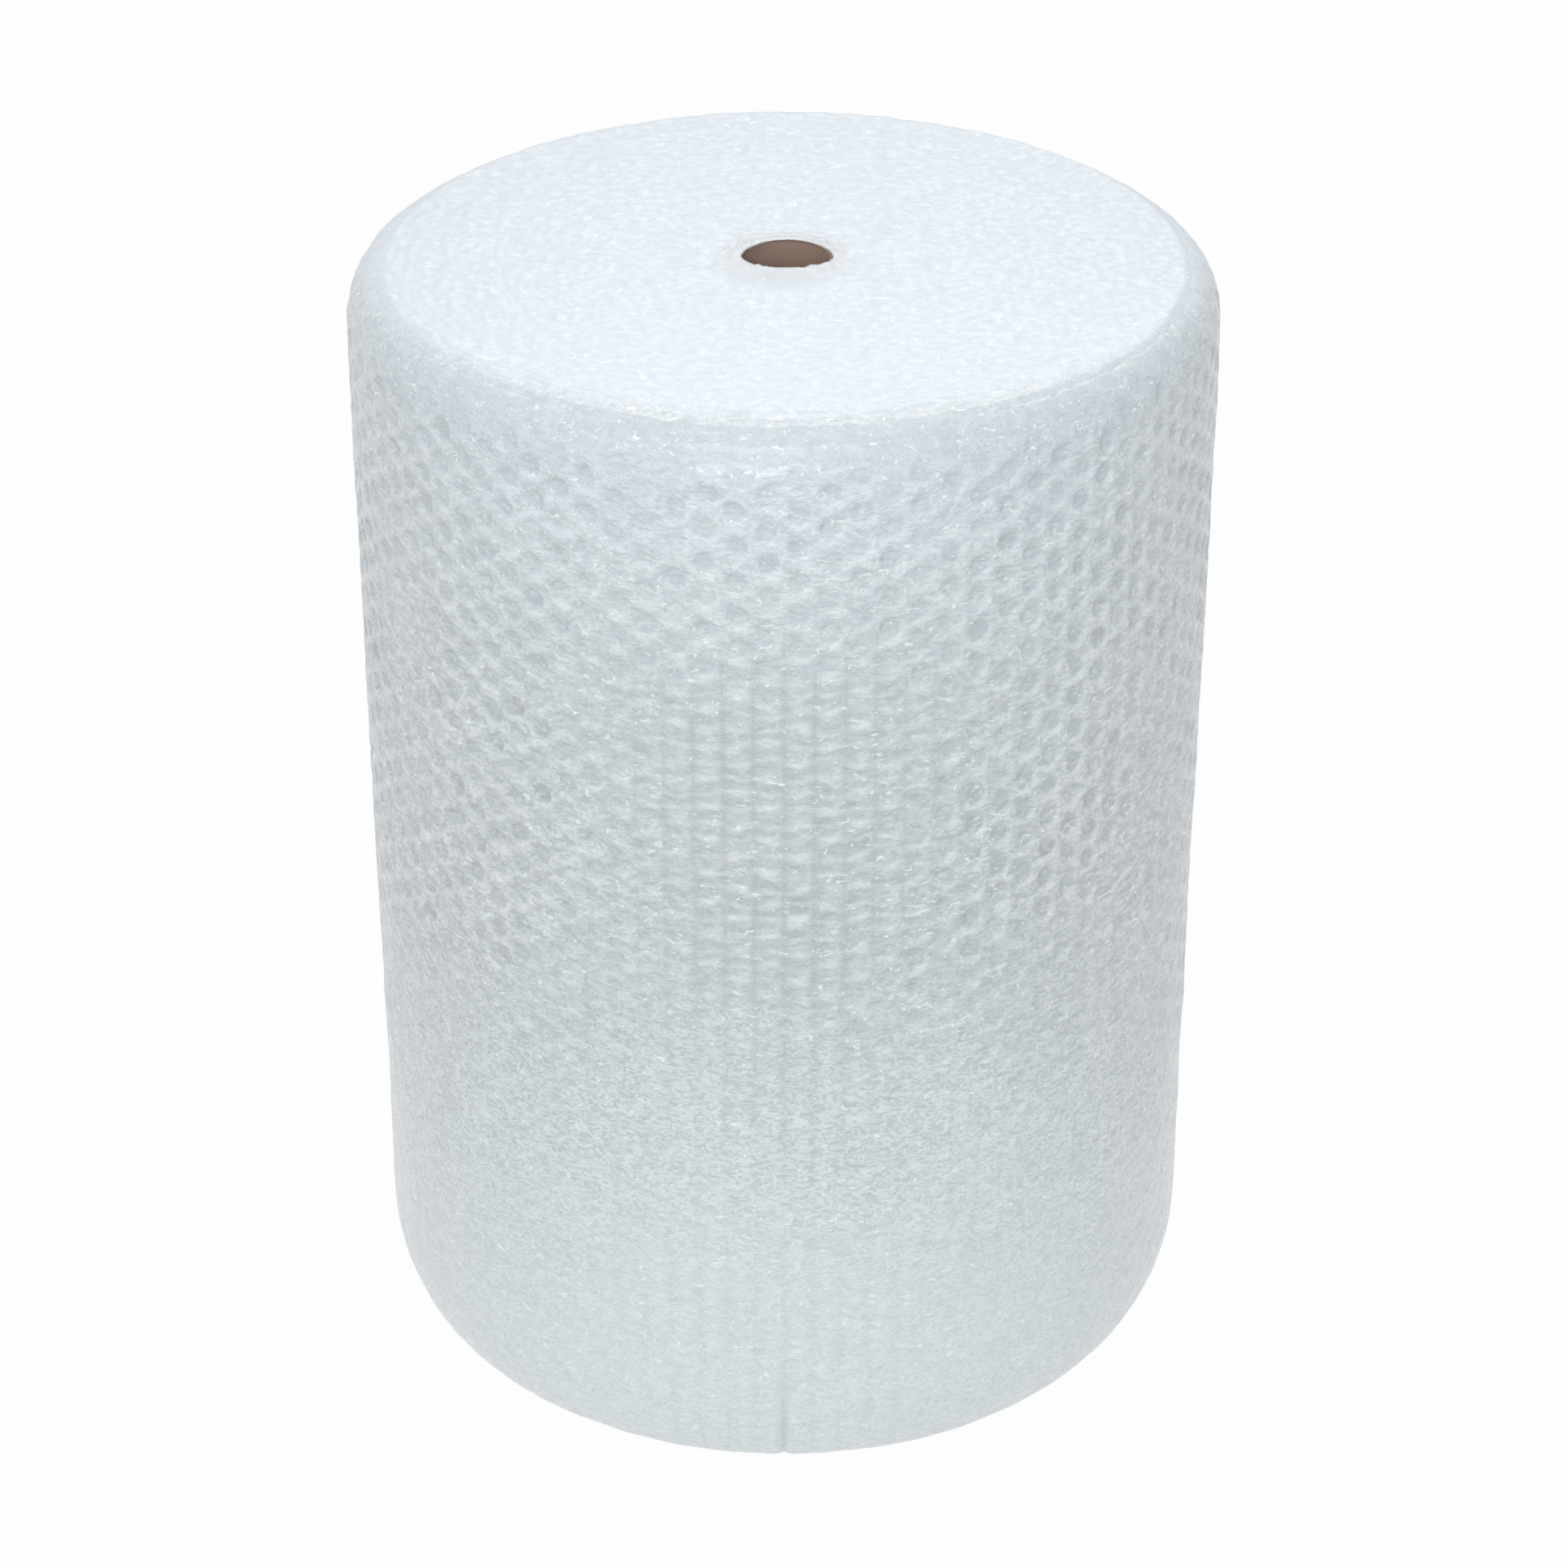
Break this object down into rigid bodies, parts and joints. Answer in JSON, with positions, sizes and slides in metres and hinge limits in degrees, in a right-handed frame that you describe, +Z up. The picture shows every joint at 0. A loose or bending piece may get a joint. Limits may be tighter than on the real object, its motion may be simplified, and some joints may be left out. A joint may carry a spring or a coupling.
{
  "type": "bubble wrap roll",
  "caption": "Large roll of clear bubble cushioning film wound on a hollow cardboard core, standing on its end.",
  "frame": {"origin": "centre of the base, on the floor that the roll stands on", "axes": "+Z up along the core's axis; -Y is the side towards the camera"},
  "size_m": [0.73, 0.7296, 1],
  "materials": {
    "bubble_film": "milky clear polyethylene film, soft gloss",
    "cardboard": "plain kraft board, matt"
  },
  "bodies": {
    "root": {"bubble_film_roll": "bubble_film", "cardboard_core": "cardboard"}
  },
  "joints": []
}
